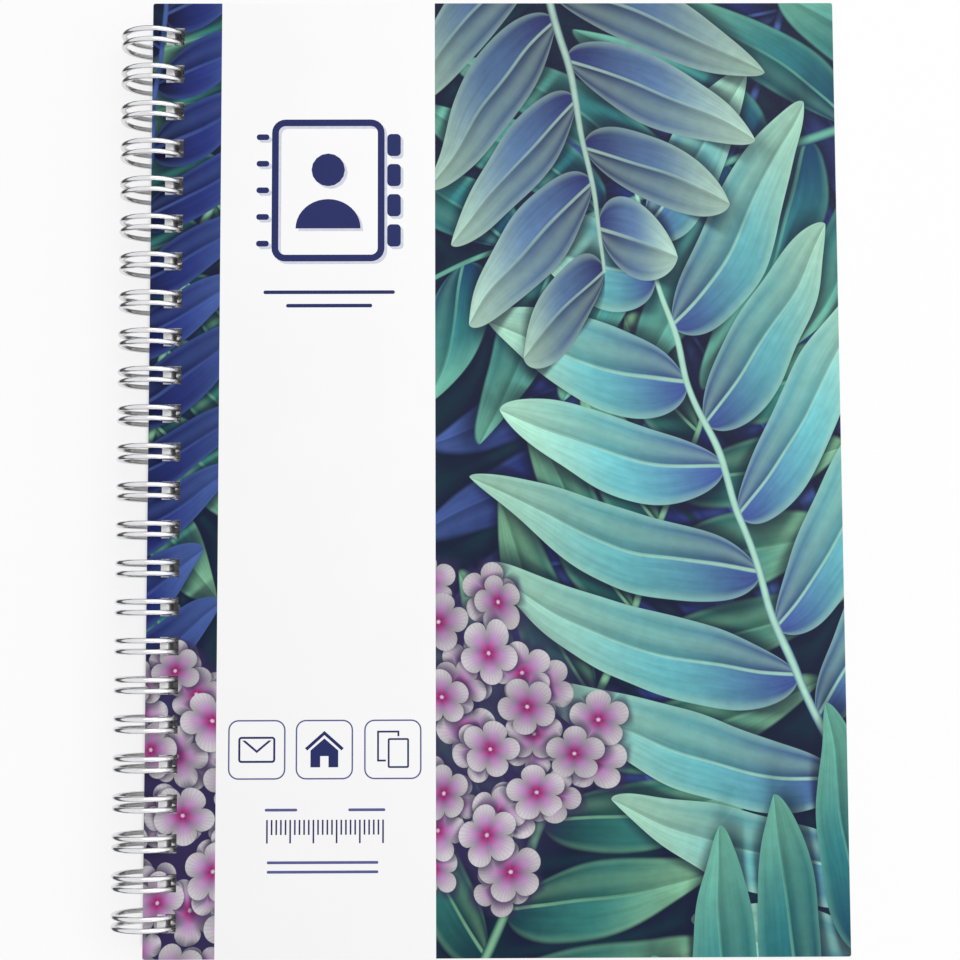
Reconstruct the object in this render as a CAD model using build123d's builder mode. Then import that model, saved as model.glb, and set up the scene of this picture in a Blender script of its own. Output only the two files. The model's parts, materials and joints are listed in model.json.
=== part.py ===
from build123d import *
from math import ceil, cos, degrees, dist, floor, radians, sin, sqrt
import os

os.makedirs("parts", exist_ok=True)

# Twin-loop bound A5 index book, in millimetres, lying closed with its front cover up.
# X runs from the binding to the fore-edge, Y from the tail to the head, Z up.
# The origin is under the middle of the book, on the table that the wire loops stand on.

# Leaves and covers
sheet_height = 210.0
leaf_width = 148.0
leaf_thickness = 0.14
leaves_per_letter = 2
sheet_gap = 0.03
cover_overhang = 4.0
cover_corner_radius = 0.5
front_cover_thickness = 0.5
back_cover_thickness = 0.9

# Stepped index, with one row down the fore-edge for each letter
index_letters = [*"abcdefghijklmnopqrstuvw", "xyz"]
tab_depth = 7.0

# Punched holes, one for each twin loop
loop_pitch = 25.4 / 3
hole_size = 4.0
hole_end_margin = 7.0
spine_to_axis = 0.1

# Wire, bent into fingers of two legs that are rolled into loops and closed under the back cover
wire_diameter = 1.2
leg_spacing = 2.4
ring_room = 1.95
hole_clearance = 0.2
bend_radius = 1.25
seam_angle = -58.0
ring_chords = 12
tip_corners = 4
bend_corners = 2

# Stack of covers and leaves
section_thickness = leaves_per_letter * leaf_thickness
section_step = section_thickness + sheet_gap
leaf_block = len(index_letters) * section_step + sheet_gap
stack_thickness = back_cover_thickness + leaf_block + front_cover_thickness
cover_width = leaf_width + cover_overhang
tab_height = sheet_height / len(index_letters)

# Loops of flat chords that touch the ring's true circle, the lowest one lying on the table
table_angle = 270.0
ring_radius = stack_thickness / 2 + ring_room + wire_diameter / 2
first_angle = seam_angle + degrees(bend_radius / ring_radius)
chord_step = (table_angle - first_angle) / (ring_chords - 0.5)
leg_angles = [first_angle + i * chord_step for i in range(ring_chords + 1)]
corner_stretch = 1 / cos(radians(chord_step / 2))
ring_reach = (ring_radius + wire_diameter / 2) * corner_stretch
leg_offset = leg_spacing / 2

# Places of the ring axis and of the covers, whose holes end just past the outside of the wire
axis_x = (ring_reach - spine_to_axis - cover_width) / 2
axis_z = ring_radius + wire_diameter / 2
spine_x = axis_x + spine_to_axis
cover_offset = stack_thickness / 2 - max(front_cover_thickness, back_cover_thickness)
cover_hole_x = axis_x + sqrt(ring_reach**2 - cover_offset**2) + hole_clearance - hole_size / 2

# Places of the leaves, which lie further from the spine: their holes begin just before the inside of the wire
ring_inside = ring_radius - wire_diameter / 2
leaf_offset = stack_thickness / 2 - min(front_cover_thickness, back_cover_thickness)
leaf_hole_x = axis_x + sqrt(ring_inside**2 - leaf_offset**2) - hole_clearance + hole_size / 2
leaf_spine_x = spine_x + leaf_hole_x - cover_hole_x

# Places of the loops along the spine, and of the stack
loop_count = floor((sheet_height - 2 * hole_end_margin) / loop_pitch) + 1
first_loop_y = -(loop_count - 1) / 2 * loop_pitch
back_cover_bottom = axis_z - stack_thickness / 2
leaf_bottom = back_cover_bottom + back_cover_thickness + sheet_gap
front_cover_bottom = back_cover_bottom + back_cover_thickness + leaf_block


def cover_outline():
    """Cover with slightly rounded corners, from the spine edge past the leaves."""
    with Locations((spine_x + cover_width / 2, 0)):
        RectangleRounded(cover_width, sheet_height, cover_corner_radius)


def leaf_outline(row):
    """Leaf cut back along the fore-edge below its own row of the index."""
    with Locations((leaf_spine_x + leaf_width / 2, 0)):
        Rectangle(leaf_width, sheet_height)
    rows_below = len(index_letters) - 1 - row
    if rows_below:
        with Locations((leaf_spine_x + leaf_width, -sheet_height / 2)):
            step_align = (Align.MAX, Align.MIN)
            Rectangle(tab_depth, rows_below * tab_height, align=step_align, mode=Mode.SUBTRACT)


def punched_holes(hole_x):
    """Row of square holes along the spine edge."""
    with Locations((hole_x, 0)):
        with GridLocations(loop_pitch, loop_pitch, 1, loop_count):
            Rectangle(hole_size, hole_size, mode=Mode.SUBTRACT)


def loop_point(angle, y, ahead=0.0):
    """Corner of a loop, or a point ahead of it or behind it on the flat that it starts or ends."""
    corner_radius = ring_radius * corner_stretch
    flat = radians(angle + (chord_step if ahead > 0 else -chord_step) / 2)
    x = axis_x + corner_radius * cos(radians(angle)) - ahead * sin(flat)
    z = axis_z + corner_radius * sin(radians(angle)) + ahead * cos(flat)
    return (x, y, z)


def bend_points(radius, turn, corners):
    """Corners of the flats that touch a bend, as distances along and across its first flat."""
    reach = radius / cos(radians(turn / corners / 2))
    for i in range(corners):
        angle = radians(turn * (i + 0.5) / corners)
        yield reach * sin(angle), radius - reach * cos(angle)


def finger_route(y):
    """Centre line of one finger: off the back wire, up and round, over the tip and back again."""
    bend_y = y - leg_offset - bend_radius
    enter = [
        loop_point(first_angle, bend_y + along, across - bend_radius)
        for along, across in bend_points(bend_radius, 90, bend_corners)
    ]
    leg_out = [loop_point(angle, y - leg_offset) for angle in leg_angles]
    tip = [
        loop_point(leg_angles[-1], y - leg_offset + across, along)
        for along, across in bend_points(leg_offset, 180, tip_corners)
    ]
    leg_back = [loop_point(angle, y + leg_offset) for angle in reversed(leg_angles)]
    leave = [(px, 2 * y - py, pz) for px, py, pz in reversed(enter)]
    return enter + leg_out + tip + leg_back + leave


def least_gap(route):
    """Least clear gap between stretches of wire that lie apart along it, from points on its centre line."""
    sample_step = wire_diameter / 4
    samples = []
    travelled = 0.0
    for start, end in zip(route, route[1:]):
        length = dist(start, end)
        pieces = ceil(length / sample_step)
        for i in range(pieces):
            point = [a + (b - a) * i / pieces for a, b in zip(start, end)]
            samples.append((travelled + length * i / pieces, point))
        travelled += length
    apart = 3 * wire_diameter
    between = (
        dist(p, q)
        for i, (near, p) in enumerate(samples)
        for far, q in samples[i + 1:]
        if far - near > apart
    )
    return min(between) - wire_diameter


# Wire binding: one unbroken wire, cut at each end halfway along the back wire to the next finger
fingers = [finger_route(first_loop_y + i * loop_pitch) for i in range(loop_count)]
back_wire_x, _, back_wire_z = loop_point(first_angle, 0, -bend_radius)
half_width = loop_count * loop_pitch / 2
wire_start = (back_wire_x, -half_width, back_wire_z)
wire_end = (back_wire_x, half_width, back_wire_z)
wire_route = [wire_start, *sum(fingers, []), wire_end]
back_flat = radians(first_angle - chord_step / 2)
with BuildPart() as wire_binding:
    with BuildLine() as route:
        Polyline(*wire_route)
    with BuildSketch(Plane(wire_start, x_dir=(cos(back_flat), 0, sin(back_flat)), z_dir=(0, 1, 0))):
        Rectangle(wire_diameter, wire_diameter)
    sweep(path=route.wire(), transition=Transition.RIGHT)
wire_binding.part.label = "wire_binding"
export_step(wire_binding.part, "parts/wire_binding.step")
print(f"wire length {sum(map(dist, wire_route, wire_route[1:])):.0f} mm")
print(f"least gap of the wire to itself {least_gap(fingers[0] + fingers[1]):.2f} mm")

# Back cover, of stiff board
with BuildPart() as back_cover:
    with BuildSketch(Plane.XY.offset(back_cover_bottom)):
        cover_outline()
        punched_holes(cover_hole_x)
    extrude(amount=back_cover_thickness)
back_cover.part.label = "back_cover"
export_step(back_cover.part, "parts/back_cover.step")

# Index leaves, a section for each letter, with the first letter on top
for row, letter in enumerate(index_letters):
    sections_below = len(index_letters) - 1 - row
    with BuildPart() as index_leaves:
        with BuildSketch(Plane.XY.offset(leaf_bottom + sections_below * section_step)):
            leaf_outline(row)
            punched_holes(leaf_hole_x)
        extrude(amount=section_thickness)
    index_leaves.part.label = f"index_leaves_{letter}"
    export_step(index_leaves.part, f"parts/index_leaves_{letter}.step")

# Front cover, of laminated card
with BuildPart() as front_cover:
    with BuildSketch(Plane.XY.offset(front_cover_bottom)):
        cover_outline()
        punched_holes(cover_hole_x)
    extrude(amount=front_cover_thickness)
front_cover.part.label = "front_cover"
export_step(front_cover.part, "parts/front_cover.step")
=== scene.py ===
import json
from collections import namedtuple
from math import cos, pi, radians, sin

import bmesh
import bpy
from bpy.props import FloatProperty, FloatVectorProperty, IntProperty, PointerProperty
from bpy.types import Operator, Panel, PropertyGroup
from mathutils import Matrix, Vector


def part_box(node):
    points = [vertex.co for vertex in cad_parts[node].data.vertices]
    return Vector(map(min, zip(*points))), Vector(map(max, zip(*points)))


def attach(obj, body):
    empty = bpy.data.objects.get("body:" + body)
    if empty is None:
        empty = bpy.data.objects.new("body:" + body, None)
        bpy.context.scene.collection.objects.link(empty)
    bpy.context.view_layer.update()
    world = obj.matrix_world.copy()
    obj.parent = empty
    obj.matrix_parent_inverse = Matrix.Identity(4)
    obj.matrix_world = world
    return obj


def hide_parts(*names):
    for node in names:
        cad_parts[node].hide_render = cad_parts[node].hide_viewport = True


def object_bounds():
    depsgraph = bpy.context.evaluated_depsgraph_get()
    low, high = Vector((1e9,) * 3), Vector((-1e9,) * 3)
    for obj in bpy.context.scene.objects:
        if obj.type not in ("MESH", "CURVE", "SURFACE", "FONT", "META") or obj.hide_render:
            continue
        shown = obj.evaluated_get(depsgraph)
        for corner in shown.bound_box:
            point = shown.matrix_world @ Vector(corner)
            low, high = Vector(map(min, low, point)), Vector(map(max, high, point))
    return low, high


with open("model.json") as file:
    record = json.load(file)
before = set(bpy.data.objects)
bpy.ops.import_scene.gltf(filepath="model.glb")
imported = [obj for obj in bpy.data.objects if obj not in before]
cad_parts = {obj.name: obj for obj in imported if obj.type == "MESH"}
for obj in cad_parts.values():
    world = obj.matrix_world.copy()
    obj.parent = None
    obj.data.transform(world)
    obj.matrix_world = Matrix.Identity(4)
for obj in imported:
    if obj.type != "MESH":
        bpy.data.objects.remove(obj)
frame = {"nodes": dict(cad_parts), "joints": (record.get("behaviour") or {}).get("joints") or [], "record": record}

bl_info = {
    "name": "Wire-bound index book",
    "version": (1, 0, 0),
    "blender": (4, 5, 0),
    "location": "View3D > Sidebar > Index book",
    "description": "Dresses a twin-loop bound index book with print, paper and polished wire",
    "category": "Object",
}

CAD_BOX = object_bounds()
MM = 0.001

# Places of the solids that the dressed pieces stand for
RING_AXIS = Vector(frame["joints"][0]["pos_m"])
FRONT_LOW, FRONT_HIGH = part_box("front_cover")
BACK_LOW, BACK_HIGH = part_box("back_cover")
SECTION_PREFIX = "index_leaves_"
SECTIONS = sorted(
    (node for node in frame["nodes"] if node.startswith(SECTION_PREFIX)),
    key=lambda node: -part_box(node)[1].z,
)
LETTERS = [node.removeprefix(SECTION_PREFIX) for node in SECTIONS]
LEAF_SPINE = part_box(SECTIONS[0])[0].x
LEAF_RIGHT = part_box(SECTIONS[0])[1].x
BODY_OF_NODE = {
    node: body for body, nodes in frame["record"]["behaviour"]["bodies"].items() for node in nodes
}
SPINE_X = FRONT_LOW.x
HEAD_Y = FRONT_HIGH.y
TAIL_Y = FRONT_LOW.y
TAB_HEIGHT = (HEAD_Y - TAIL_Y) / len(SECTIONS)
HOLE_SEARCH = 20 * MM


def hole_span(node):
    """Near and far side of the row of holes in a sheet."""
    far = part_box(node)[0].x + HOLE_SEARCH
    corners = [v.co for v in frame["nodes"][node].data.vertices]
    sides = [c.x for c in corners if c.x < far and abs(c.y) < HEAD_Y / 2]
    return min(sides), max(sides)


COVER_HOLES = hole_span("front_cover")
LEAF_HOLES = hole_span(SECTIONS[0])


def srgb(code):
    """Linear colour of a six-digit screen colour."""
    parts = [int(code[i:i + 2], 16) / 255 for i in (0, 2, 4)]
    return tuple(p / 12.92 if p <= 0.04045 else ((p + 0.055) / 1.055) ** 2.4 for p in parts)


def length(name, description, millimetres):
    """Property for a length, kept in metres."""
    return FloatProperty(
        name=name, description=description, default=millimetres * MM, precision=5, unit="LENGTH"
    )


def colour(name, description, code):
    """Property for a colour, from its screen code."""
    return FloatVectorProperty(name=name, description=description, default=srgb(code), subtype="COLOR")


def turn(name, description, degrees):
    """Property for an angle, kept in radians."""
    return FloatProperty(name=name, description=description, default=radians(degrees), subtype="ANGLE")


class BookSizes(PropertyGroup):
    """Sizes of the dressed pieces that the frame does not already fix."""

    loop_count: IntProperty(name="Loops", description="Twin loops along the spine", default=24)
    loop_pitch: length("Loop pitch", "Distance from one twin loop to the next", 25.4 / 3)
    wire_diameter: length("Wire diameter", "Thickness of the round wire", 1.2)
    leg_spacing: length("Leg spacing", "Distance between the two legs of a loop", 2.4)
    bend_radius: length("Bend radius", "Bend from the back wire into a leg", 1.25)
    seam_angle: turn("Seam angle", "Angle of the back wire round the ring", -58)
    leg_end_angle: turn("Leg end angle", "Angle round the ring where a loop's tip begins", 283.8)
    corner_radius: length("Corner radius", "Rounding of the cover corners", 0.5)
    paper_thickness: length("Paper thickness", "Thickness of one leaf", 0.13)
    tab_depth: length("Tab depth", "Depth of the index steps along the fore-edge", 7.0)
    letter_height: length("Letter size", "Size of the index letters", 5.0)
    letter_inset: length("Letter inset", "From the fore-edge to the middle of an index letter", 3.0)
    ink_height: length("Ink height", "How far printed ink stands on its sheet", 0.006)
    band_left: length("Band left", "From the spine edge to the white band", 15.4)
    band_right: length("Band right", "From the spine edge to the far side of the white band", 62.9)


class PrintColours(PropertyGroup):
    """Colours of the printed front cover."""

    ground: colour("Ground", "Deep shade behind the leaves", "0C1230")
    band: colour("Band", "White band down the cover", "FAFAFA")
    ink: colour("Ink", "Dark ink of the pictograms", "262E62")
    frame_ink: colour("Frame ink", "Thin ink of the small frames", "5A5C93")
    soft_ink: colour("Soft ink", "Pale printed shade behind the large mark", "D3D6E2")
    lilac_shade: colour("Lilac, shade", "Between the florets", "30264F")
    lilac_heart: colour("Lilac, heart", "Florets at their middle", "A8307F")
    lilac_body: colour("Lilac, body", "Florets", "B486BA")
    lilac_rim: colour("Lilac, rim", "Florets at the rim", "CAC6CB")


# Leaves of the print, each with its shades at the stem, over its body and at the tip
LEAF_SHADES = {"deep": " at the stem", "body": "", "tip": " at the tip"}
LEAF_PALETTES = {
    "night": ("Darkest blue leaves", "0B0E2C", "222E70", "465F9E"),
    "violet": ("Violet leaves", "282E62", "527096", "A6C8B8"),
    "teal": ("Teal leaves", "123A5C", "2E787C", "6AAE9A"),
    "aqua": ("Pale aqua leaves", "3E5292", "66B4BA", "AADCC4"),
    "moss": ("Sea-green leaves", "0F3440", "30726C", "7CB290"),
}
for palette, (leaves, *codes) in LEAF_PALETTES.items():
    for (shade, where), code in zip(LEAF_SHADES.items(), codes):
        tint = colour(f"{palette.capitalize()}, {shade}", leaves + where, code)
        PrintColours.__annotations__[f"{palette}_{shade}"] = tint


class PieceColours(PropertyGroup):
    """Colours of the wire, board and paper."""

    wire: colour("Wire", "Plated steel wire", "E4E4E6")
    core: colour("Card core", "Cut edge and inside of the front cover", "F1F0EC")
    board: colour("Back board", "Grey board of the back cover", "D8D6CF")
    paper: colour("Paper", "Writing paper", "F7F7F7")
    rule: colour("Rules", "Printed rules on the leaves", "A9B4D2")
    tab_tint: colour("Index tint", "Tint along the stepped index", "CBDAEB")
    letter: colour("Index letters", "Ink of the index letters", "262E62")


class StudioSettings(PropertyGroup):
    """Light and floor of the stage."""

    key_power: FloatProperty(
        name="Key light", description="Soft light over the head", default=4.1, unit="POWER"
    )
    fill_power: FloatProperty(
        name="Fill light", description="Soft light over the fore-edge", default=3.5, unit="POWER"
    )
    world_strength: FloatProperty(name="Room light", description="Even light from all round", default=0.5)
    floor: colour("Floor", "Plain pale floor", "F4F4F4")


SETTINGS = {
    "book_sizes": BookSizes,
    "print_colours": PrintColours,
    "piece_colours": PieceColours,
    "studio_settings": StudioSettings,
}


# Shader nodes

SOCKET_KINDS = {"vector": "NodeSocketVector", "colour": "NodeSocketColor", "value": "NodeSocketFloat"}
NOISE_LOW, NOISE_HIGH = 0.3, 0.7


class NodeBench:
    """Adds linked nodes to one shader tree."""

    def __init__(self, tree):
        self.tree = tree

    def feed(self, socket, value):
        """Links another node's output to a socket, or sets the socket's own value."""
        if isinstance(value, bpy.types.NodeSocket):
            self.tree.links.new(value, socket)
        elif socket.type == "RGBA" and len(value) == 3:
            socket.default_value = (*value, 1.0)
        else:
            socket.default_value = value

    def fill(self, node, inputs):
        """Feeds a node's inputs, found by name or number."""
        for name, value in inputs.items():
            self.feed(node.inputs[name], value)

    def add(self, kind, inputs=None, **settings):
        """New node with its settings and inputs."""
        node = self.tree.nodes.new(kind)
        for name, value in settings.items():
            setattr(node, name, value)
        self.fill(node, inputs or {})
        return node

    def math(self, operation, *values):
        """Result of one sum on values."""
        return self.add("ShaderNodeMath", dict(enumerate(values)), operation=operation).outputs[0]

    def times(self, product, *factors):
        """Product of values."""
        for factor in factors:
            product = self.math("MULTIPLY", product, factor)
        return product

    def minus(self, first, second):
        """First value less the second."""
        return self.math("SUBTRACT", first, second)

    def within(self, value, low, high):
        """One between two limits, and zero outside them."""
        return self.times(self.math("GREATER_THAN", value, low), self.math("LESS_THAN", value, high))

    def vector(self, operation, *values):
        """Vector result of one sum on vectors."""
        node = self.add("ShaderNodeVectorMath", dict(enumerate(values)), operation=operation)
        return node.outputs["Vector"]

    def length(self, vector):
        """Length of a vector."""
        return self.add("ShaderNodeVectorMath", {0: vector}, operation="LENGTH").outputs["Value"]

    def scaled(self, vector, factor):
        """Vector made longer or shorter by a factor."""
        node = self.add("ShaderNodeVectorMath", {"Vector": vector, "Scale": factor}, operation="SCALE")
        return node.outputs["Vector"]

    def split(self, vector):
        """The X, Y and Z of a vector."""
        return self.add("ShaderNodeSeparateXYZ", {0: vector}).outputs

    def join(self, x, y, z):
        """Vector from its X, Y and Z."""
        return self.add("ShaderNodeCombineXYZ", {0: x, 1: y, 2: z}).outputs[0]

    def turned(self, vector, angle):
        """Vector turned about Z."""
        inputs = {"Vector": vector, "Angle": angle}
        return self.add("ShaderNodeVectorRotate", inputs, rotation_type="Z_AXIS").outputs[0]

    def slope(self, value, start, end, low=0.0, high=1.0, curve="LINEAR"):
        """Even rise from low at start to high at end, held level outside them."""
        inputs = {"Value": value, "From Min": start, "From Max": end, "To Min": low, "To Max": high}
        return self.add("ShaderNodeMapRange", inputs, interpolation_type=curve).outputs[0]

    def ramp(self, value, start, end):
        """Smooth rise from zero at start to one at end."""
        return self.slope(value, start, end, curve="SMOOTHSTEP")

    def between(self, share, low, high):
        """Value from low to high, for a share from zero to one."""
        return self.slope(share, 0.0, 1.0, low, high)

    def spread(self, noise, low, high):
        """Value from low to high, over the range that soft noise mostly keeps to."""
        return self.slope(noise, NOISE_LOW, NOISE_HIGH, low, high)

    def mix(self, factor, first, second, blend="MIX"):
        """Colour between two colours."""
        node = self.add("ShaderNodeMix", data_type="RGBA", blend_type=blend, clamp_result=True)
        self.fill(node, {0: factor, 6: first, 7: second})
        return node.outputs[2]

    def toned(self, colour_socket, level):
        """Colour made lighter or darker by a level."""
        return self.mix(1.0, colour_socket, level, blend="MULTIPLY")

    def noise(self, place, scale, detail=3.0, roughness=0.55):
        """Soft noise from 0 to 1."""
        inputs = {"Vector": place, "Scale": scale, "Detail": detail, "Roughness": roughness}
        return self.add("ShaderNodeTexNoise", inputs).outputs["Fac"]

    def group(self, build, **inputs):
        """Placed node group that a function builds, its inputs named by words joined with underscores."""
        named = {name.replace("_", " ").capitalize(): value for name, value in inputs.items()}
        return self.add("ShaderNodeGroup", named, node_tree=shared_group(build)).outputs


def shader_group(name, inputs, outputs):
    """Bench of a new node group, with what the group is given and the node that puts out what it made."""
    tree = bpy.data.node_groups.new(name, "ShaderNodeTree")
    for in_out, sockets in (("INPUT", inputs), ("OUTPUT", outputs)):
        for kind, socket_names in sockets.items():
            for socket_name in socket_names:
                tree.interface.new_socket(socket_name, in_out=in_out, socket_type=SOCKET_KINDS[kind])
    return NodeBench(tree), tree.nodes.new("NodeGroupInput").outputs, tree.nodes.new("NodeGroupOutput")


def shared_group(build):
    """Node group made by a function, built once and then found by the function's name."""
    name = build.__name__
    if name not in bpy.data.node_groups:
        build(name)
    return bpy.data.node_groups[name]


def sheet_place(name):
    """Place on the book in millimetres: X from the spine edge, Y up from the middle, Z from the table."""
    bench, _, made = shader_group(name, {}, {"vector": ["Place"]})
    own = bench.add("ShaderNodeTexCoord").outputs["Object"]
    moved = bench.vector("SUBTRACT", own, (SPINE_X, 0.0, 0.0))
    bench.fill(made, {"Place": bench.scaled(moved, 1 / MM)})


def paper_fibre(name):
    """Fine fibres of paper and board, as a tone and a height."""
    bench, given, made = shader_group(
        name, {"vector": ["Place"], "value": ["Fibre scale"]}, {"value": ["Tone", "Height"]}
    )
    stretched = bench.vector("MULTIPLY", given["Place"], (1.0, 0.45, 1.0))
    fibre = bench.noise(stretched, given["Fibre scale"], detail=5.0, roughness=0.7)
    cloud = bench.noise(given["Place"], 0.05, detail=2.0)
    both = bench.math("ADD", bench.times(fibre, 0.6), bench.times(cloud, 0.4))
    bench.fill(made, {"Tone": bench.spread(both, 0.95, 1.0), "Height": fibre})


def leaf_spray(name):
    """Two ranks of leaflets along an arched stem, painted over what lies under them."""
    bench, given, made = shader_group(
        name,
        {
            "vector": ["Place", "Root"],
            "value": ["Heading", "Length", "Leaflet", "Step", "Arch", "Seed", "Blur"],
            "colour": ["Under", "Shade", "Deep", "Body", "Tip"],
        },
        {"colour": ["Colour"]},
    )
    math, times, minus, ramp, mix = bench.math, bench.times, bench.minus, bench.ramp, bench.mix
    step, tip = given["Step"], given["Tip"]

    # Place along the stem and away from it
    from_root = bench.vector("SUBTRACT", given["Place"], given["Root"])
    along, aside, _ = bench.split(bench.turned(from_root, times(given["Heading"], -1.0)))
    share = math("DIVIDE", along, given["Length"])
    arch = times(given["Arch"], share, share)
    stem_side = minus(aside, arch)
    side = math("SIGN", stem_side)
    reach = math("ABSOLUTE", stem_side)

    # Leaflets sweep forward from the stem, one rank half a step behind the other
    sweep = times(reach, math("MULTIPLY_ADD", reach, 0.007, 0.5))
    lag = times(side, step, 0.25)
    station = math("ADD", minus(along, sweep), lag)
    cells = math("DIVIDE", station, step)
    rank = math("ROUND", cells)
    root_share = math("DIVIDE", times(rank, step), given["Length"])
    chance = bench.add("ShaderNodeTexWhiteNoise", {"Vector": bench.join(rank, side, given["Seed"])})
    chance_a, chance_b, chance_c = bench.split(chance.outputs["Color"])
    off_cell = minus(cells, rank)
    shift = bench.between(chance_c, -0.06, 0.06)
    off_row = math("ADD", off_cell, shift)
    across = times(off_row, step, 0.84)

    # Outline of a leaflet, broad below its middle, drawn out to a point and slimmer where it is off its row
    off_peak = minus(root_share, 0.35)
    taper = minus(1.0, times(off_peak, off_peak, 1.3))
    size = times(taper, bench.between(chance_a, 0.84, 1.12))
    leaflet = times(given["Leaflet"], size)
    grown = math("DIVIDE", times(reach, 1.2), leaflet)
    ripe = math("MINIMUM", math("MAXIMUM", grown, 0.0), 1.0)
    belly = times(math("POWER", ripe, 0.6), math("POWER", minus(1.0, ripe), 0.7))
    slim = math("MULTIPLY_ADD", math("ABSOLUTE", shift), -2.0, 1.0)
    broad = times(belly, slim, step)
    half = math("MULTIPLY_ADD", broad, 1.02, 0.001)
    off_rib = math("ABSOLUTE", across)
    over_edge = minus(off_rib, half)
    on_stem = bench.within(root_share, -0.01, 1.0)
    leaf = times(ramp(over_edge, 0.0, times(given["Blur"], -1.0)), on_stem)

    # Colour from stem to tip, with a fold at the midrib, long streaks and a lit rim
    width = math("DIVIDE", across, half)
    painted = mix(ramp(ripe, 0.0, 0.55), given["Deep"], given["Body"])
    painted = mix(ramp(ripe, 0.45, 1.0), painted, tip)
    fold = math("FRACT", math("MULTIPLY_ADD", width, 0.5, 1.0))
    own_row = math("MULTIPLY_ADD", side, 0.4, rank)
    strand = bench.join(times(reach, 0.05), times(width, 4.0), own_row)
    streak = bench.spread(bench.noise(strand, 2.0, detail=4.0), 0.86, 1.1)
    light = times(bench.between(fold, 0.62, 1.2), streak, bench.between(chance_b, 0.8, 1.15))
    painted = bench.toned(painted, light)
    sheen = times(ramp(math("ABSOLUTE", minus(width, 0.45)), 0.4, 0.0), 0.28)
    rim = times(ramp(math("ABSOLUTE", width), 0.7, 1.0), 0.4)
    painted = mix(math("MAXIMUM", sheen, rim), painted, tip)
    rib = times(ramp(off_rib, 0.5, 0.15), bench.slope(ripe, 0.1, 1.0, 0.75, 0.1))
    painted = mix(rib, painted, tip)

    # Shade on what lies under the leaflets, then the leaflets and the stem
    near = times(ramp(over_edge, 5.5, -0.5), ramp(grown, 1.2, 0.85))
    apart = times(ramp(math("ABSOLUTE", off_cell), 0.5, 0.4), on_stem)
    shadow = times(near, apart, 0.85)
    result = mix(leaf, mix(shadow, given["Under"], given["Shade"]), painted)
    in_span = bench.within(share, 0.0, 1.0)
    stem = times(ramp(math("ADD", reach, share), 1.6, 1.2), in_span)
    rounded = mix(ramp(reach, 0.1, 1.3), tip, given["Deep"])
    bench.fill(made, {"Colour": mix(stem, result, rounded)})


def floret_cluster(name):
    """Round head of five-petalled florets, painted over what lies under it."""
    bench, given, made = shader_group(
        name,
        {
            "vector": ["Place", "Centre"],
            "value": ["Reach", "Cell", "Turn", "Hollow"],
            "colour": ["Under", "Shade", "Heart", "Body", "Rim"],
        },
        {"colour": ["Colour"]},
    )
    math, times, minus, ramp, mix = bench.math, bench.times, bench.minus, bench.ramp, bench.mix
    from_centre = bench.vector("SUBTRACT", given["Place"], given["Centre"])
    level = bench.vector("MULTIPLY", from_centre, (1.0, 1.0, 0.0))
    cells = bench.scaled(bench.turned(level, given["Turn"]), math("DIVIDE", 1.0, given["Cell"]))
    inputs = {"Vector": cells, "Scale": 1.0, "Randomness": 0.16}
    voronoi = bench.add("ShaderNodeTexVoronoi", inputs, voronoi_dimensions="2D")
    border = bench.add(
        "ShaderNodeTexVoronoi", inputs, voronoi_dimensions="2D", feature="DISTANCE_TO_EDGE"
    ).outputs["Distance"]
    floret_centre = voronoi.outputs["Position"]
    chance_a, chance_b, chance_c = bench.split(voronoi.outputs["Color"])
    x, y, _ = bench.split(bench.vector("SUBTRACT", cells, floret_centre))
    out = math("SQRT", math("ADD", times(x, x), times(y, y)))

    # Outline of five round petals
    angle = math("ADD", math("ARCTAN2", y, x), times(chance_a, 2 * pi))
    petal = math("ABSOLUTE", math("COSINE", times(angle, 2.5)))
    lobe = math("MULTIPLY_ADD", math("POWER", petal, 0.5), 0.2, 0.28)
    edge = times(lobe, bench.between(chance_c, 0.84, 1.0))
    over_edge = minus(out, edge)
    from_middle = times(bench.length(floret_centre), given["Cell"])
    in_head = math("LESS_THAN", from_middle, given["Reach"])
    floret = times(ramp(over_edge, 0.0, -0.01), in_head)

    # Colour from the heart to the rim, with streaks, a crease between the petals and a pale eye
    grown = math("DIVIDE", out, edge)
    painted = mix(ramp(grown, 0.1, 0.5), given["Heart"], given["Body"])
    painted = mix(ramp(grown, 0.35, 0.95), painted, given["Rim"])
    streak = bench.between(math("PINGPONG", times(angle, 14.0), 1.0), 0.9, 1.03)
    light = times(bench.between(petal, 0.62, 1.04), streak, bench.between(chance_b, 0.82, 1.04))
    painted = bench.toned(painted, light)
    painted = mix(ramp(out, 0.04, 0.015), painted, given["Rim"])

    # Shade of the whole head and of each floret on what lies under them, then the florets
    outer = times(given["Reach"], 1.05)
    inner = times(given["Reach"], 0.65)
    deep = times(ramp(bench.length(level), outer, inner), given["Hollow"])
    near = times(ramp(over_edge, 0.22, -0.05), ramp(border, 0.0, 0.1), in_head, 0.85)
    shaded = mix(math("MAXIMUM", deep, near), given["Under"], given["Shade"])
    bench.fill(made, {"Colour": mix(floret, shaded, painted)})


def print_swirl(name):
    """Slow swirl that bends the printed leaves, with the mottle and grain of the print."""
    bench, given, made = shader_group(
        name, {"vector": ["Place"]}, {"vector": ["Bent place"], "value": ["Mottle", "Grain"]}
    )
    swirl = bench.add("ShaderNodeTexNoise", {"Vector": given["Place"], "Scale": 0.03, "Detail": 1.0})
    pushed = bench.scaled(bench.vector("SUBTRACT", swirl.outputs["Color"], (0.5, 0.5, 0.5)), WARP)
    bent = bench.vector("ADD", given["Place"], pushed)
    grain = bench.spread(bench.noise(given["Place"], 0.4, detail=4.0), 0.93, 1.06)
    bench.fill(made, {"Bent place": bent, "Mottle": swirl.outputs["Fac"], "Grain": grain})


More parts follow.
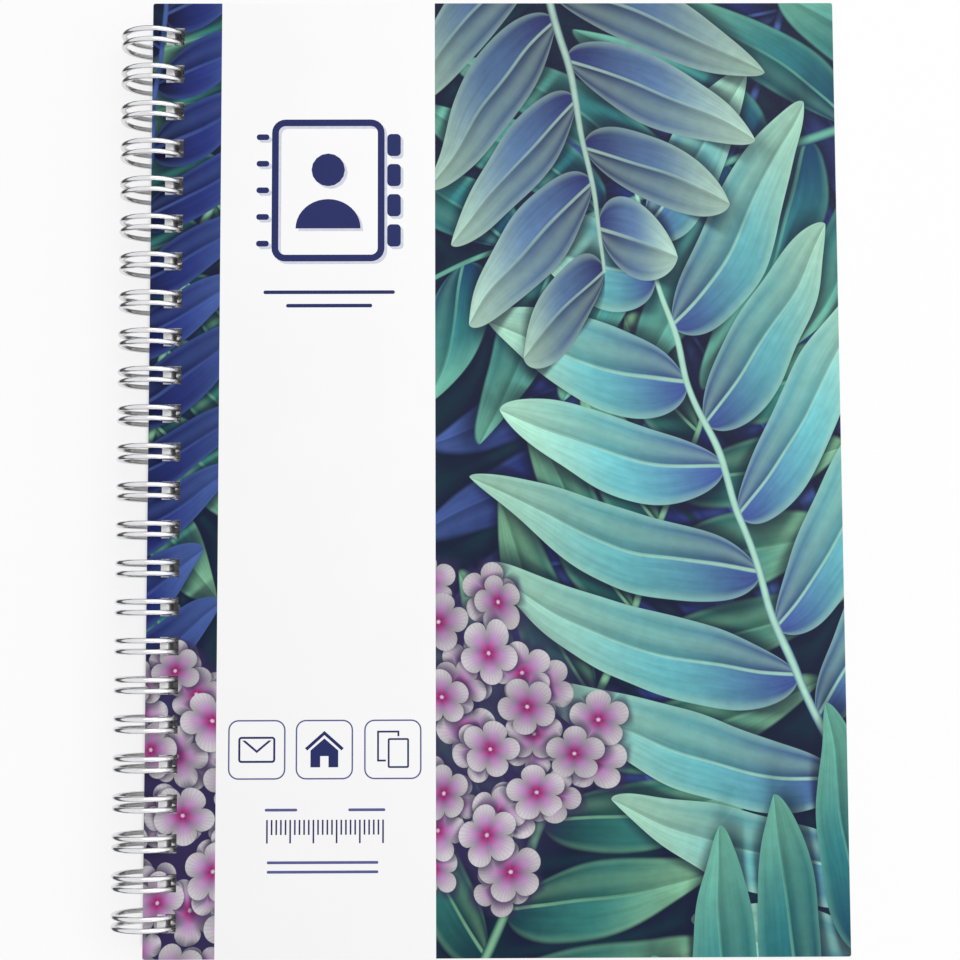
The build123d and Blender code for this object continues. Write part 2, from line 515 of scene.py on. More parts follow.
def film_sheen(name):
    """Smooth clear film, as a roughness and a height."""
    bench, given, made = shader_group(name, {"vector": ["Place"]}, {"value": ["Roughness", "Height"]})
    film = bench.noise(given["Place"], 1.6, detail=2.0)
    bench.fill(made, {"Roughness": bench.spread(film, 0.34, 0.46), "Height": film})


def ink_sheen(name):
    """Dense ink that lies a little unevenly, as a tone and a roughness."""
    bench, given, made = shader_group(name, {"vector": ["Place"]}, {"value": ["Tone", "Roughness"]})
    patch = bench.noise(given["Place"], 1.2)
    bench.fill(made, {"Tone": bench.spread(patch, 0.92, 1.06), "Roughness": bench.spread(patch, 0.36, 0.5)})


# Gloss of bare, printed and plain surfaces, and fine relief
PULP_GLOSS = 0.2
PRINT_GLOSS = 0.12
PLAIN_GLOSS = 0.5
FINE_RELIEF = 0.01 * MM
FILM_RELIEF = 0.02 * MM
BOARD_RELIEF = 0.03 * MM


class FinishBench(NodeBench):
    """Adds the nodes of one surface to a new material."""

    def __init__(self, name):
        self.material = bpy.data.materials.new(name)
        self.material.use_nodes = True
        super().__init__(self.material.node_tree)
        self.shader = self.tree.nodes["Principled BSDF"]

    def place(self):
        """Place on the book, in millimetres."""
        return self.group(sheet_place)["Place"]

    def finish(self, tint, roughness, gloss, height=None, relief=0.0, strength=1.0):
        """Material with its colour, roughness and gloss, and with relief where it has a height."""
        self.fill(self.shader, {"Base Color": tint, "Roughness": roughness, "Specular IOR Level": gloss})
        if height is not None:
            bump = self.add("ShaderNodeBump", {"Height": height, "Distance": relief, "Strength": strength})
            self.fill(self.shader, {"Normal": bump.outputs["Normal"]})
        return self.material

    def film_finish(self, place, picture):
        """Material of a print under a smooth clear film."""
        film = self.group(film_sheen, place=place)
        return self.finish(
            picture, film["Roughness"], PRINT_GLOSS, film["Height"], FILM_RELIEF, strength=0.15
        )

    def fibre_finish(self, place, tint, fibre_scale, roughness, relief):
        """Dull material of fibres."""
        fibre = self.group(paper_fibre, place=place, fibre_scale=fibre_scale)
        dull = self.spread(fibre["Height"], *roughness)
        return self.finish(self.toned(tint, fibre["Tone"]), dull, PULP_GLOSS, fibre["Height"], relief)


# Materials

Spray = namedtuple("Spray", "x y heading length leaflet step arch blur palette")
Head = namedtuple("Head", "x y reach cell turn hollow")

# Places on the front cover, in millimetres from the spine edge and from the middle, deepest first
PICTURE_SPRAYS = (
    Spray(x=150, y=128, heading=248, length=200, leaflet=56, step=21, arch=18, blur=1.6, palette="night"),
    Spray(x=58, y=-135, heading=62, length=180, leaflet=52, step=20, arch=16, blur=1.1, palette="moss"),
    Spray(x=178, y=84, heading=196, length=130, leaflet=52, step=20, arch=10, blur=0.7, palette="teal"),
    Spray(x=176, y=-124, heading=116, length=200, leaflet=62, step=23, arch=-20, blur=0.2, palette="aqua"),
    Spray(x=78, y=142, heading=288, length=100, leaflet=46, step=19, arch=-10, blur=0.2, palette="violet"),
    Spray(x=119, y=-143, heading=44, length=100, leaflet=50, step=20, arch=10, blur=0.2, palette="teal"),
)
PICTURE_HEADS = (
    Head(x=68, y=-58, reach=34, cell=15, turn=0.2, hollow=0.85),
    Head(x=71, y=-60, reach=31, cell=14, turn=1.3, hollow=0.0),
    Head(x=73, y=-60, reach=27, cell=14, turn=0.8, hollow=0.0),
)
STRIP_SPRAYS = (
    Spray(x=30, y=122, heading=254, length=200, leaflet=38, step=17, arch=8, blur=0.6, palette="moss"),
    Spray(x=-14, y=-66, heading=86, length=190, leaflet=34, step=15, arch=-6, blur=0.2, palette="night"),
)
STRIP_HEADS = (
    Head(x=3, y=-76, reach=41, cell=15, turn=0.5, hollow=0.85),
    Head(x=5, y=-77, reach=38, cell=14, turn=0.2, hollow=0.0),
    Head(x=7, y=-74, reach=36, cell=14, turn=1.1, hollow=0.0),
)
WARP = 7.0

# Print on the leaves, in millimetres from the spine edge, the head, the tail or the index strip
RULE_STEP = 8.5
RULE_START = 13.0
RULE_STOP = 4.0
HEAD_SPACE = 15.0
TAIL_SPACE = 9.0
COLUMN_X = 84.0
RULE_CORE, RULE_EDGE = 0.08, 0.16
STRIP_EDGE = 0.05


def printed_film(name, sprays, heads, colours):
    """Laminated print of leaf sprays and heads of florets on a dark ground."""
    bench = FinishBench(name)
    place = bench.place()
    swirl = bench.group(print_swirl, place=place)
    bent = swirl["Bent place"]
    picture = bench.mix(swirl["Mottle"], colours.ground, colours.moss_deep)
    for seed, spray in enumerate(sprays):
        picture = bench.group(
            leaf_spray, place=bent, under=picture, shade=colours.ground,
            root=(spray.x, spray.y, 0.0), heading=radians(spray.heading), length=spray.length,
            leaflet=spray.leaflet, step=spray.step, arch=spray.arch, seed=float(seed), blur=spray.blur,
            **{shade: getattr(colours, f"{spray.palette}_{shade}") for shade in LEAF_SHADES},
        )["Colour"]
    for head in heads:
        picture = bench.group(
            floret_cluster, place=bent, under=picture, shade=colours.lilac_shade,
            centre=(head.x, head.y, 0.0), reach=head.reach, cell=head.cell, turn=head.turn,
            hollow=head.hollow,
            heart=colours.lilac_heart, body=colours.lilac_body, rim=colours.lilac_rim,
        )["Colour"]
    return bench.film_finish(place, bench.toned(picture, swirl["Grain"]))


def band_film(colours):
    """White band of the cover under the same film."""
    bench = FinishBench("band_film")
    place = bench.place()
    tone = bench.spread(bench.noise(place, 0.06, detail=2.0), 0.99, 1.0)
    return bench.film_finish(place, bench.toned(colours.band, tone))


def pulp(name, tint, fibre_scale, relief):
    """Uncoated card or board with visible fibre."""
    bench = FinishBench(name)
    return bench.fibre_finish(bench.place(), tint, fibre_scale, roughness=(0.7, 0.9), relief=relief)


def ruled_paper(colours, sizes):
    """Writing paper with pale rules and a tinted index strip."""
    bench = FinishBench("ruled_paper")
    math, times, minus, ramp, mix = bench.math, bench.times, bench.minus, bench.ramp, bench.mix
    place = bench.place()
    x, y, _ = bench.split(place)
    head = HEAD_Y / MM
    strip_x = (LEAF_RIGHT - SPINE_X - sizes.tab_depth) / MM
    in_columns = bench.within(x, RULE_START, strip_x - RULE_STOP)
    in_lines = bench.within(y, TAIL_SPACE - head, head - HEAD_SPACE)
    line = ramp(math("PINGPONG", math("ADD", y, head), RULE_STEP / 2), RULE_EDGE, RULE_CORE)
    column = ramp(math("ABSOLUTE", minus(x, COLUMN_X)), RULE_EDGE, RULE_CORE)
    rules = times(math("MAXIMUM", line, column), in_columns, in_lines)
    tinted = mix(ramp(x, strip_x - STRIP_EDGE, strip_x + STRIP_EDGE), colours.paper, colours.tab_tint)
    printed = mix(rules, tinted, colours.rule)
    return bench.fibre_finish(place, printed, fibre_scale=2.2, roughness=(0.72, 0.88), relief=FINE_RELIEF)


def printed_ink(name, tint):
    """Dense ink with a slightly uneven sheen."""
    bench = FinishBench(name)
    ink = bench.group(ink_sheen, place=bench.place())
    return bench.finish(bench.toned(tint, ink["Tone"]), ink["Roughness"], PRINT_GLOSS)


def polished_wire(colours):
    """Plated wire with faint drawing marks round each loop."""
    bench = FinishBench("polished_wire")
    bench.shader.inputs["Metallic"].default_value = 1.0
    place = bench.place()
    drawn = bench.noise(bench.vector("MULTIPLY", place, (0.25, 6.0, 0.25)), 1.0, detail=4.0)
    patch = bench.spread(bench.noise(place, 0.35), 0.95, 1.03)
    tint = bench.toned(colours.wire, bench.times(bench.spread(drawn, 0.93, 1.03), patch))
    rough = bench.spread(drawn, 0.12, 0.26)
    return bench.finish(tint, rough, PLAIN_GLOSS, drawn, FINE_RELIEF, strength=0.4)


# Meshes

TOP_FACE, UNDER_FACE, EDGE_FACE, BAND_FACE, STRIP_FACE = range(5)
FLAT_LIMIT = 0.5
WELD = 1e-7


def linked(name, data):
    """Object in the scene, with its data."""
    thing = bpy.data.objects.new(name, data)
    bpy.context.scene.collection.objects.link(thing)
    return thing


def finished_mesh(name, shape):
    """Mesh of a shape that is then let go."""
    mesh = bpy.data.meshes.new(name)
    shape.to_mesh(mesh)
    shape.free()
    return mesh


def new_piece(name, mesh, body, materials):
    """Object that rides a body of the book, with its materials."""
    for material in materials:
        mesh.materials.append(material)
    piece = linked(name, mesh)
    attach(piece, body)
    return piece


def plate_mesh(name, regions, bottom, top):
    """Closed flat plate from outlines, each with its holes, between two heights."""
    shape = bmesh.new()
    for outline, *holes in regions:
        rims = []
        for loop in (outline, *holes):
            corners = [shape.verts.new((x, y, bottom)) for x, y in loop]
            rims += [shape.edges.new(pair) for pair in zip(corners, corners[1:] + corners[:1])]
        bmesh.ops.triangle_fill(shape, use_beauty=True, edges=rims)
    raised = bmesh.ops.extrude_face_region(shape, geom=list(shape.faces))["geom"]
    lifted = [part for part in raised if isinstance(part, bmesh.types.BMVert)]
    bmesh.ops.translate(shape, vec=(0, 0, top - bottom), verts=lifted)
    bmesh.ops.recalc_face_normals(shape, faces=shape.faces)
    for face in shape.faces:
        up = face.normal.z
        face.material_index = TOP_FACE if up > FLAT_LIMIT else UNDER_FACE if up < -FLAT_LIMIT else EDGE_FACE
    return finished_mesh(name, shape)


def arc(x, y, radius, start, end, steps):
    """Points on an arc, with its angles in degrees."""
    angles = [radians(start + (end - start) * i / steps) for i in range(steps + 1)]
    return [(x + radius * cos(a), y + radius * sin(a)) for a in angles]


def rounded_box(x, y, width, height, radius, steps=6):
    """Outline of a box about its middle, with round corners."""
    along, up = width / 2 - radius, height / 2 - radius
    corners = ((1, 1, 0), (-1, 1, 90), (-1, -1, 180), (1, -1, 270))
    return [
        point
        for sx, sy, start in corners
        for point in arc(x + sx * along, y + sy * up, radius, start, start + 90, steps)
    ]


def box_outline(left, bottom, right, top):
    """Outline of a square-cornered box."""
    return [(left, bottom), (right, bottom), (right, top), (left, top)]


def loop_places(sizes):
    """Middle of each twin loop along the spine."""
    return [(i - (sizes.loop_count - 1) / 2) * sizes.loop_pitch for i in range(sizes.loop_count)]


def punched_holes(span, sizes):
    """Outlines of the square holes along the spine edge."""
    left, right = span
    half = (right - left) / 2
    return [box_outline(left, y - half, right, y + half) for y in loop_places(sizes)]


def cover_mesh(name, low, high, sizes):
    """Cover with rounded corners and the row of holes."""
    middle = (low + high) / 2
    outline = rounded_box(middle.x, middle.y, high.x - low.x, high.y - low.y, sizes.corner_radius)
    return plate_mesh(name, [(outline, *punched_holes(COVER_HOLES, sizes))], low.z, high.z)


def part_at_band(mesh, sizes):
    """Parts the top of the front cover into the strip, the band and the picture."""
    shape = bmesh.new()
    shape.from_mesh(mesh)
    band_left, band_right = SPINE_X + sizes.band_left, SPINE_X + sizes.band_right
    for x in (band_left, band_right):
        parts = [*shape.verts, *shape.edges, *shape.faces]
        bmesh.ops.bisect_plane(shape, geom=parts, dist=WELD, plane_co=(x, 0, 0), plane_no=(1, 0, 0))
    for face in shape.faces:
        x = face.calc_center_median().x
        if face.material_index == TOP_FACE and x < band_right:
            face.material_index = STRIP_FACE if x < band_left else BAND_FACE
    shape.to_mesh(mesh)
    shape.free()


def leaf_regions(row, sizes):
    """Leaf outline, cut back along the fore-edge below its own row, with the row of holes."""
    step_y = HEAD_Y - (row + 1) * TAB_HEIGHT
    cut_x = LEAF_RIGHT - sizes.tab_depth
    if row == len(SECTIONS) - 1:
        outline = box_outline(LEAF_SPINE, TAIL_Y, LEAF_RIGHT, HEAD_Y)
    else:
        outline = [
            (LEAF_SPINE, TAIL_Y), (cut_x, TAIL_Y), (cut_x, step_y),
            (LEAF_RIGHT, step_y), (LEAF_RIGHT, HEAD_Y), (LEAF_SPINE, HEAD_Y),
        ]
    return [(outline, *punched_holes(LEAF_HOLES, sizes))]


LEG_STEPS = 56
BEND_STEPS = 6
TIP_STEPS = 8
WIRE_SIDES = 12


def wire_stations(sizes, radius):
    """Places along the wire, each as its Y and its angle round the ring."""
    bend, offset = sizes.bend_radius, sizes.leg_spacing / 2
    first, last = sizes.seam_angle + bend / radius, sizes.leg_end_angle
    quarter = [pi / 2 * i / BEND_STEPS for i in range(BEND_STEPS + 1)]
    tip_quarter = [pi / 2 * i / TIP_STEPS for i in range(1, TIP_STEPS + 1)]
    half_width = sizes.loop_count * sizes.loop_pitch / 2
    stations = [(-half_width, sizes.seam_angle)]
    for y in loop_places(sizes):
        near_y = y - offset
        enter = [
            (near_y - bend + bend * sin(q), sizes.seam_angle + bend * (1 - cos(q)) / radius) for q in quarter
        ]
        leg = [(near_y, first + (last - first) * i / LEG_STEPS) for i in range(1, LEG_STEPS + 1)]
        tip = [(y - offset * cos(q), last + offset * sin(q) / radius) for q in tip_quarter]
        out = enter + leg + tip
        stations += out + [(2 * y - py, angle) for py, angle in reversed(out[:-1])]
    stations.append((half_width, sizes.seam_angle))
    return stations


def wire_mesh(sizes):
    """Round wire along the comb of fingers that is rolled into loops."""
    thick = sizes.wire_diameter / 2
    radius = RING_AXIS.z - thick
    stations = wire_stations(sizes, radius)
    centres = [
        Vector((RING_AXIS.x + radius * cos(a), y, RING_AXIS.z + radius * sin(a))) for y, a in stations
    ]
    shape = bmesh.new()
    rings = []
    for i, (centre, (_, angle)) in enumerate(zip(centres, stations)):
        ahead = centres[min(i + 1, len(centres) - 1)] - centres[max(i - 1, 0)]
        outward = Vector((cos(angle), 0, sin(angle)))
        sideways = ahead.normalized().cross(outward).normalized()
        turns = [2 * pi * k / WIRE_SIDES for k in range(WIRE_SIDES)]
        rings.append([
            shape.verts.new(centre + (outward * cos(t) + sideways * sin(t)) * thick) for t in turns
        ])
    for ring, after in zip(rings, rings[1:]):
        for k in range(WIRE_SIDES):
            following = (k + 1) % WIRE_SIDES
            face = shape.faces.new((ring[k], ring[following], after[following], after[k]))
            face.smooth = True
    shape.faces.new(rings[0])
    shape.faces.new(rings[-1])
    bmesh.ops.recalc_face_normals(shape, faces=shape.faces)
    return finished_mesh("wire_loops", shape)


def letter_mesh(text, size, thickness):
    """Closed slab in the shape of a letter, about its middle."""
    curve = bpy.data.curves.new("letter", "FONT")
    curve.body = text
    curve.size = size
    curve.align_x = "CENTER"
    curve.align_y = "CENTER"
    curve.extrude = thickness / 2
    curve.resolution_u = 4
    holder = linked("letter", curve)
    ready = holder.evaluated_get(bpy.context.evaluated_depsgraph_get())
    mesh = bpy.data.meshes.new_from_object(ready)
    bpy.data.objects.remove(holder)
    bpy.data.curves.remove(curve)
    return mesh


def joined_mesh(name, placed):
    """One mesh from several, each with its own placing, with shared corners welded."""
    shape = bmesh.new()
    for mesh, matrix in placed:
        mesh.transform(matrix)
        shape.from_mesh(mesh)
        bpy.data.meshes.remove(mesh)
    bmesh.ops.remove_doubles(shape, verts=shape.verts, dist=WELD)
    bmesh.ops.recalc_face_normals(shape, faces=shape.faces)
    for face in shape.faces:
        face.material_index = 0
        face.smooth = False
    return finished_mesh(name, shape)


# Pictograms on the band, in millimetres: their places from the spine edge and the head, and their
# shapes from their own middle

MARK_PLACE = (39.2, 42.5)
MARK_SHADE_PLACE = (39.8, 43.1)
TITLE_PLACE = (39.5, 65.4)
FRAME_PLACES = ((24.2, 165.5), (38.8, 165.5), (53.6, 165.5))
SCALE_PLACE = (39.0, 183.0)
TITLE_LINE = 0.8
NOTE_LINE = 0.6
TICK_COUNT = 26
TICK_WIDTH = 0.36
LONG_TICK, SHORT_TICK = 5.0, 3.2


def frame_line(x, y, width, height, radius, line):
    """Rounded box drawn as a line."""
    inner_radius = max(radius - line, 0.05)
    return (
        rounded_box(x, y, width, height, radius),
        rounded_box(x, y, width - 2 * line, height - 2 * line, inner_radius),
    )


def contact_book():
    """Book with index tabs, loops and a head and shoulders."""
    width, height, line = 25.0, 32.0, 1.5
    regions = [frame_line(0, 0, width, height, 3.0, line)]
    regions += [(rounded_box(width / 2 + 2.1, 10.2 - 6.8 * i, 3.0, 5.0, 0.9),) for i in range(4)]
    regions += [(rounded_box(-width / 2 - 2.0, 12.0 - 6.0 * i, 2.8, 1.3, 0.6),) for i in range(5)]
    regions.append((arc(0, 4.6, 3.7, 0, 337.5, 15),))
    shoulders = [(7.2 * cos(a), -8.6 + 6.6 * sin(a)) for a in (pi * i / 20 for i in range(21))]
    regions.append((shoulders,))
    return regions


def envelope():
    """Letter with its flap."""
    return [
        frame_line(0, 0, 8.0, 5.6, 0.7, 0.45),
        ([(-3.2, 2.0), (0, -0.7), (3.2, 2.0), (2.5, 2.0), (0, -0.1), (-2.5, 2.0)],),
    ]


def house():
    """Gabled house with a door."""
    return [
        ([(-4.2, 0.3), (0, 4.0), (4.2, 0.3), (3.7, -0.2), (0, 3.1), (-3.7, -0.2)],),
        ([(-3.0, -0.2), (-3.0, -3.8), (-0.9, -3.8), (-0.9, -1.4), (0.9, -1.4), (0.9, -3.8), (3.0, -3.8),
          (3.0, -0.2), (0, 2.4)],),
    ]


def pages():
    """Two leaves, one before the other."""
    return [
        frame_line(1.2, -0.8, 4.6, 6.4, 0.4, 0.4),
        ([(-1.5, -2.6), (-3.4, -2.6), (-3.4, 4.0), (1.4, 4.0), (1.4, 2.8), (1.0, 2.8), (1.0, 3.6),
          (-3.0, 3.6), (-3.0, -2.2), (-1.5, -2.2)],),
    ]


def rule_line(x, y, width, line):
    """Level stroke with round ends."""
    return (rounded_box(x, y, width, line, line * 0.49),)


def measure_scale():
    """Row of upright ticks a millimetre apart, with every fifth one longer."""
    ticks = []
    for i in range(TICK_COUNT):
        x, top = i - (TICK_COUNT - 1) / 2, LONG_TICK / 2
        bottom = top - (SHORT_TICK if i % 5 else LONG_TICK)
        ticks.append((box_outline(x - TICK_WIDTH / 2, bottom, x + TICK_WIDTH / 2, top),))
    return ticks


def placed_regions(regions, place):
    """Regions in millimetres moved to a place on the cover, in metres."""
    x, y = place
    return [
        tuple([(SPINE_X + (x + px) * MM, HEAD_Y - (y - py) * MM) for px, py in loop] for loop in region)
        for region in regions
    ]


# Operators

class INDEXBOOK_OT_wire_binding(Operator):
    """Roll the polished wire into its twin loops"""

    bl_idname = "index_book.wire_binding"
    bl_label = "Wire binding"

    def execute(self, context):
        scene = context.scene
        mesh = wire_mesh(scene.book_sizes)
        piece = new_piece("wire_loops", mesh, "wire", [polished_wire(scene.piece_colours)])
        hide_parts("wire_binding")
        return {"FINISHED"}


class INDEXBOOK_OT_front_cover(Operator):
    """Make the printed front cover"""

    bl_idname = "index_book.front_cover"
    bl_label = "Front cover"

    def execute(self, context):
        scene = context.scene
        colours = scene.print_colours
        picture = printed_film("picture_film", PICTURE_SPRAYS, PICTURE_HEADS, colours)
        strip = printed_film("strip_film", STRIP_SPRAYS, STRIP_HEADS, colours)
        core = pulp("card_core", scene.piece_colours.core, fibre_scale=2.5, relief=FINE_RELIEF)
        mesh = cover_mesh("front_card", FRONT_LOW, FRONT_HIGH, scene.book_sizes)
        part_at_band(mesh, scene.book_sizes)
        materials = [picture, core, core, band_film(colours), strip]
        piece = new_piece("front_card", mesh, "front_cover", materials)
        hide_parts("front_cover")
        return {"FINISHED"}


class INDEXBOOK_OT_band_pictograms(Operator):
    """Print the pictograms on the white band"""

    bl_idname = "index_book.band_pictograms"
    bl_label = "Band pictograms"

    def execute(self, context):
        colours = context.scene.print_colours
        ink = printed_ink("band_ink", colours.ink)
        thin_ink = printed_ink("frame_ink", colours.frame_ink)
        soft_ink = printed_ink("soft_ink", colours.soft_ink)
        ink_height = context.scene.book_sizes.ink_height
        bottom = FRONT_HIGH.z - ink_height / 2
        titles = [rule_line(0, 0, 29.0, TITLE_LINE), rule_line(0, -3.0, 19.0, TITLE_LINE)]
        notes = [
            rule_line(-9.5, 4.6, 7.0, NOTE_LINE), rule_line(9.0, 4.6, 8.0, NOTE_LINE),
            rule_line(-0.5, -6.6, 24.0, NOTE_LINE), rule_line(-0.5, -8.6, 24.0, NOTE_LINE),
        ]
        marks = [
            ("contact_book_shade", contact_book(), MARK_SHADE_PLACE, soft_ink),
            ("contact_book_mark", contact_book(), MARK_PLACE, ink),
            ("title_rules", titles, TITLE_PLACE, ink),
            ("envelope_mark", envelope(), FRAME_PLACES[0], ink),
            ("house_mark", house(), FRAME_PLACES[1], ink),
            ("pages_mark", pages(), FRAME_PLACES[2], ink),
            ("scale_mark", measure_scale(), SCALE_PLACE, ink),
            ("note_rules", notes, SCALE_PLACE, thin_ink),
        ]
        for i, place in enumerate(FRAME_PLACES, 1):
            box = frame_line(0, 0, width=12.4, height=12.8, radius=2.2, line=0.32)
            marks.append((f"mark_frame_{i}", [box], place, thin_ink))
        for name, regions, place, material in marks:
            height = ink_height / 2 if material is soft_ink else ink_height
            mesh = plate_mesh(name, placed_regions(regions, place), bottom, FRONT_HIGH.z + height)
            new_piece(name, mesh, "front_cover", [material] * 3)
        return {"FINISHED"}


class INDEXBOOK_OT_back_cover(Operator):
    """Make the plain board of the back cover"""

    bl_idname = "index_book.back_cover"
    bl_label = "Back cover"

    def execute(self, context):
        scene = context.scene
        board = pulp("back_board", scene.piece_colours.board, fibre_scale=1.2, relief=BOARD_RELIEF)
        mesh = cover_mesh("back_board", BACK_LOW, BACK_HIGH, scene.book_sizes)
        piece = new_piece("back_board", mesh, "back_cover", [board] * 3)
        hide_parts("back_cover")
        return {"FINISHED"}


class INDEXBOOK_OT_index_leaves(Operator):
    """Make the leaves, two for each letter, stepped along the fore-edge"""

    bl_idname = "index_book.index_leaves"
    bl_label = "Index leaves"

    def execute(self, context):
        sizes = context.scene.book_sizes
        colours = context.scene.piece_colours
        paper = ruled_paper(colours, sizes)
        edge = pulp("paper_edge", colours.paper, fibre_scale=3.0, relief=FINE_RELIEF)
        for row, (node, letter) in enumerate(zip(SECTIONS, LETTERS)):
            low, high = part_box(node)
            spans = {
                "front": (high.z - sizes.paper_thickness, high.z),
                "rear": (low.z, low.z + sizes.paper_thickness),
            }
            for place, (bottom, top) in spans.items():
                name = f"leaf_{letter}_{place}"
                mesh = plate_mesh(name, leaf_regions(row, sizes), bottom, top)
                piece = new_piece(name, mesh, BODY_OF_NODE[node], [paper, paper, edge])
                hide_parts(node)
        return {"FINISHED"}


class INDEXBOOK_OT_index_letters(Operator):
    """Print each section's letter on both faces of its step"""

    bl_idname = "index_book.index_letters"
    bl_label = "Index letters"

    def execute(self, context):
        sizes = context.scene.book_sizes
        ink = printed_ink("letter_ink", context.scene.piece_colours.letter)
        x = LEAF_RIGHT - sizes.letter_inset
        for row, (node, letter) in enumerate(zip(SECTIONS, LETTERS)):
            low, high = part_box(node)
            y = HEAD_Y - (row + 0.5) * TAB_HEIGHT
            size = sizes.letter_height / (1 if len(letter) == 1 else 2)
            over = Matrix.Translation((x, y, high.z))
            under = Matrix.Translation((x, y, low.z)) @ Matrix.Rotation(pi, 4, "Y")
            thick = 2 * sizes.ink_height
            placed = [(letter_mesh(letter.upper(), size, thick), face) for face in (over, under)]
            name = f"letter_{letter}"
            new_piece(name, joined_mesh(name, placed), BODY_OF_NODE[node], [ink])
        return {"FINISHED"}


class INDEXBOOK_OT_stage(Operator):
    """Set the floor, the soft light and the camera"""

    bl_idname = "index_book.stage"
    bl_label = "Stage"

    def execute(self, context):
        studio = context.scene.studio_settings
        pale_floor(studio)
        dark_card()
        room_light(context.scene, studio)
        soft_box("key_light", KEY_PLACE, studio.key_power)
        soft_box("fill_light", FILL_PLACE, studio.fill_power)
        photo_camera(context.scene)
        context.scene.view_settings.view_transform = "Standard"
        return {"FINISHED"}


# Stage

FLOOR_SIDE = 8.0
FLOOR_DROP = 0.02 * MM
FLOOR_WHITE = 0.82
FLOOR_NEAR = 0.25
FLOOR_FAR = 1.2
CARD_SIDE = 1.0
CARD_MARGIN = 12 * MM
CARD_SHADE = (0.05, 0.05, 0.055, 1.0)
# Painted shade on the floor under the bound edge: where it starts, where it is full, where it fades and ends, and
# how softly it ends at head and tail
BINDING_SHADE_START = SPINE_X - 3 * MM
BINDING_SHADE_FULL = SPINE_X - 1 * MM
BINDING_SHADE_FADE = SPINE_X + 8 * MM
BINDING_SHADE_END = SPINE_X + 14 * MM
BINDING_SHADE_SOFT = 2 * MM
KEY_PLACE = Vector((0.3, 0.4, 0.94))
FILL_PLACE = Vector((0.72, -0.05, 0.66))
SOFT_BOX_SIDE = 0.7
CAMERA_PLACE = Vector((SPINE_X + 69.5 * MM, -35.0 * MM, FRONT_HIGH.z + 396.0 * MM))
CAMERA_TURN = (radians(4.75), radians(-0.44), radians(-0.20))
CAMERA_LENS = 68.03
SENSOR_WIDTH = 36.0
NEAREST_SEEN = 0.01
WHITE = (1.0, 1.0, 1.0, 1.0)


def seen_directly(bench):
    """One for rays that come from the camera, a mirror or glass, and zero for the rest."""
    path = bench.add("ShaderNodeLightPath").outputs
    mirrored = bench.math("MAXIMUM", path["Is Glossy Ray"], path["Is Transmission Ray"])
    return bench.math("MAXIMUM", path["Is Camera Ray"], mirrored)


def under_binding(bench):
    """Painted shade: one on the floor under the bound edge, where the floor loses its white glow and shows its own
    shadow, staying dark when nothing covers it, and zero elsewhere.
    """
    x, y, _ = bench.split(bench.add("ShaderNodeTexCoord").outputs["Object"])
    entered = bench.ramp(x, BINDING_SHADE_START, BINDING_SHADE_FULL)
    ended = bench.ramp(x, BINDING_SHADE_END, BINDING_SHADE_FADE)
    beside = bench.ramp(bench.math("ABSOLUTE", y), HEAD_Y, HEAD_Y - BINDING_SHADE_SOFT)
    return bench.times(entered, ended, beside)


def stage_sheet(name, corners, faces, material):
    """Flat sheet for the stage."""
    mesh = bpy.data.meshes.new(name)
    mesh.from_pydata(corners, [], faces)
    mesh.materials.append(material)
    return linked(name, mesh)


def pale_floor(studio):
    """Floor that shows white, keeps the book's shadow, has a painted shade under the bound edge and runs into the
    background far off.
    """
    half = FLOOR_SIDE / 2
    corners = [(x, y, -FLOOR_DROP) for x, y in box_outline(-half, -half, half, half)]
    bench = FinishBench("pale_floor")
    material = bench.finish(studio.floor, roughness=0.9, gloss=0.0)
    white = bench.add("ShaderNodeEmission", {"Color": WHITE, "Strength": 1.0})
    away = bench.length(bench.add("ShaderNodeTexCoord").outputs["Object"])
    whiteness = bench.slope(away, FLOOR_NEAR, FLOOR_FAR, FLOOR_WHITE, 1.0)
    # Painted shade: the floor's white glow is taken away under the bound edge
    share = bench.times(seen_directly(bench), whiteness, bench.minus(1.0, under_binding(bench)))
    both = bench.add("ShaderNodeMixShader", {0: share, 1: bench.shader.outputs[0], 2: white.outputs[0]})
    bench.fill(bench.tree.nodes["Material Output"], {"Surface": both.outputs[0]})
    floor = stage_sheet("floor", corners, [(0, 1, 2, 3)], material)


def dark_card():
    """Dark card on the table all round the book, seen only in reflections, where it draws the edges."""
    half = CARD_SIDE / 2
    low, high = CAD_BOX
    inner = box_outline(low.x - CARD_MARGIN, low.y - CARD_MARGIN, high.x + CARD_MARGIN, high.y + CARD_MARGIN)
    corners = [(x, y, 0.0) for x, y in box_outline(-half, -half, half, half) + inner]
    faces = [(i, (i + 1) % 4, (i + 1) % 4 + 4, i + 4) for i in range(4)]
    material = FinishBench("card_shade").finish(CARD_SHADE, roughness=1.0, gloss=PLAIN_GLOSS)
    card = stage_sheet("dark_card", corners, faces, material)
    card.visible_camera = False
    card.visible_diffuse = False
    card.visible_shadow = False


def room_light(scene, studio):
    """Even light from all round, with a white background."""
    world = bpy.data.worlds.new("room")
    world.use_nodes = True
    scene.world = world
    bench = NodeBench(world.node_tree)
    strength = bench.between(seen_directly(bench), studio.world_strength, 1.0)
    bench.fill(world.node_tree.nodes["Background"], {"Color": WHITE, "Strength": strength})


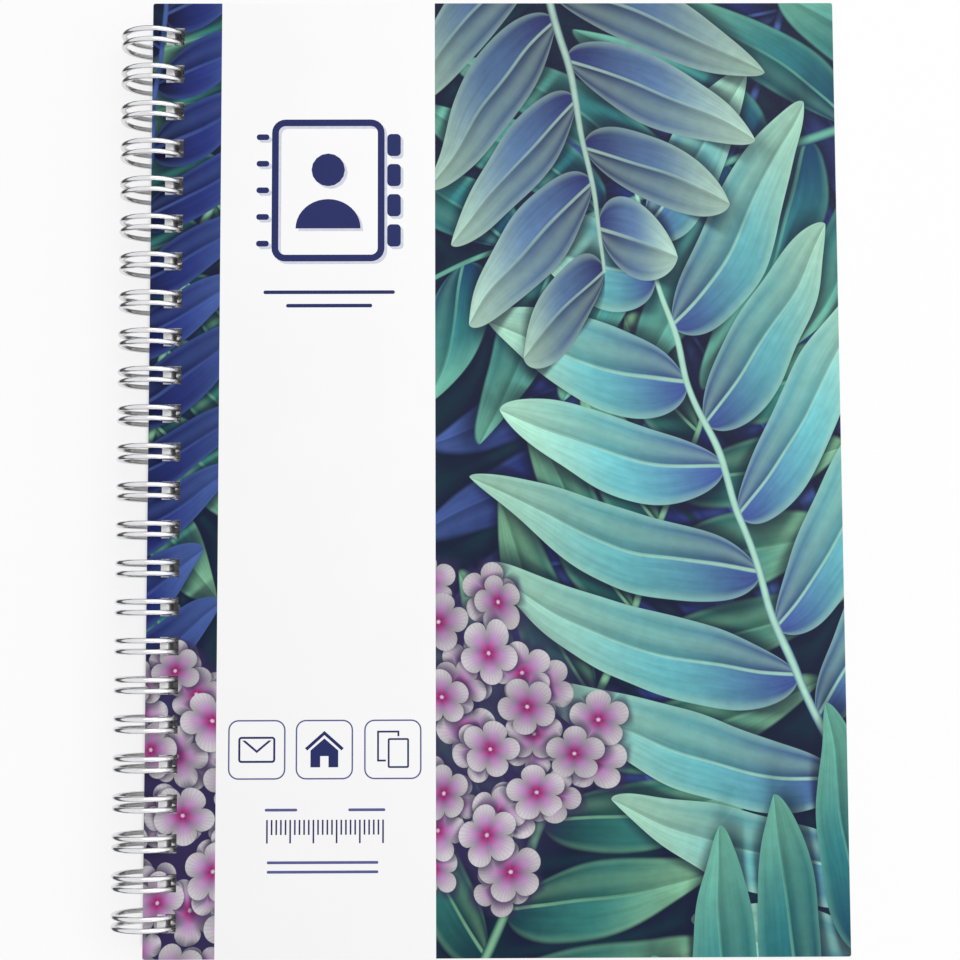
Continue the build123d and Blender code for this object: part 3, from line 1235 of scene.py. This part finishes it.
def soft_box(name, place, power):
    """Large soft light turned to the book."""
    light = bpy.data.lights.new(name, "AREA")
    light.shape = "SQUARE"
    light.size = SOFT_BOX_SIDE
    light.energy = power
    holder = linked(name, light)
    holder.location = place
    holder.rotation_euler = (-place).to_track_quat("-Z", "Y").to_euler()


def photo_camera(scene):
    """Camera over the tail of the book, looking down."""
    camera = bpy.data.cameras.new("photo_camera")
    camera.lens = CAMERA_LENS
    camera.sensor_width = SENSOR_WIDTH
    camera.clip_start = NEAREST_SEEN
    holder = linked("photo_camera", camera)
    holder.location = CAMERA_PLACE
    holder.rotation_euler = CAMERA_TURN
    scene.camera = holder


class INDEXBOOK_PT_sidebar(Panel):
    """Lists the settings and the pieces of the book"""

    bl_label = "Index book"
    bl_idname = "INDEXBOOK_PT_sidebar"
    bl_space_type = "VIEW_3D"
    bl_region_type = "UI"
    bl_category = "Index book"

    def draw(self, context):
        for name, kind in SETTINGS.items():
            box = self.layout.box()
            box.label(text=name.replace("_", " ").capitalize())
            for prop in kind.__annotations__:
                box.prop(getattr(context.scene, name), prop)
        for operator in OPERATORS:
            self.layout.operator(operator.bl_idname)


OPERATORS = (
    INDEXBOOK_OT_stage,
    INDEXBOOK_OT_wire_binding,
    INDEXBOOK_OT_back_cover,
    INDEXBOOK_OT_index_leaves,
    INDEXBOOK_OT_index_letters,
    INDEXBOOK_OT_front_cover,
    INDEXBOOK_OT_band_pictograms,
)
CLASSES = (*SETTINGS.values(), *OPERATORS, INDEXBOOK_PT_sidebar)


def register():
    """Registers the classes and their settings."""
    for kind in CLASSES:
        bpy.utils.register_class(kind)
    for name, kind in SETTINGS.items():
        setattr(bpy.types.Scene, name, PointerProperty(type=kind))


def unregister():
    """Removes the settings and the classes."""
    for name in SETTINGS:
        delattr(bpy.types.Scene, name)
    for kind in reversed(CLASSES):
        bpy.utils.unregister_class(kind)


def main():
    """Dresses the book."""
    register()
    for operator in OPERATORS:
        group, name = operator.bl_idname.split(".")
        getattr(getattr(bpy.ops, group), name)()


if __name__ == "__main__":
    main()
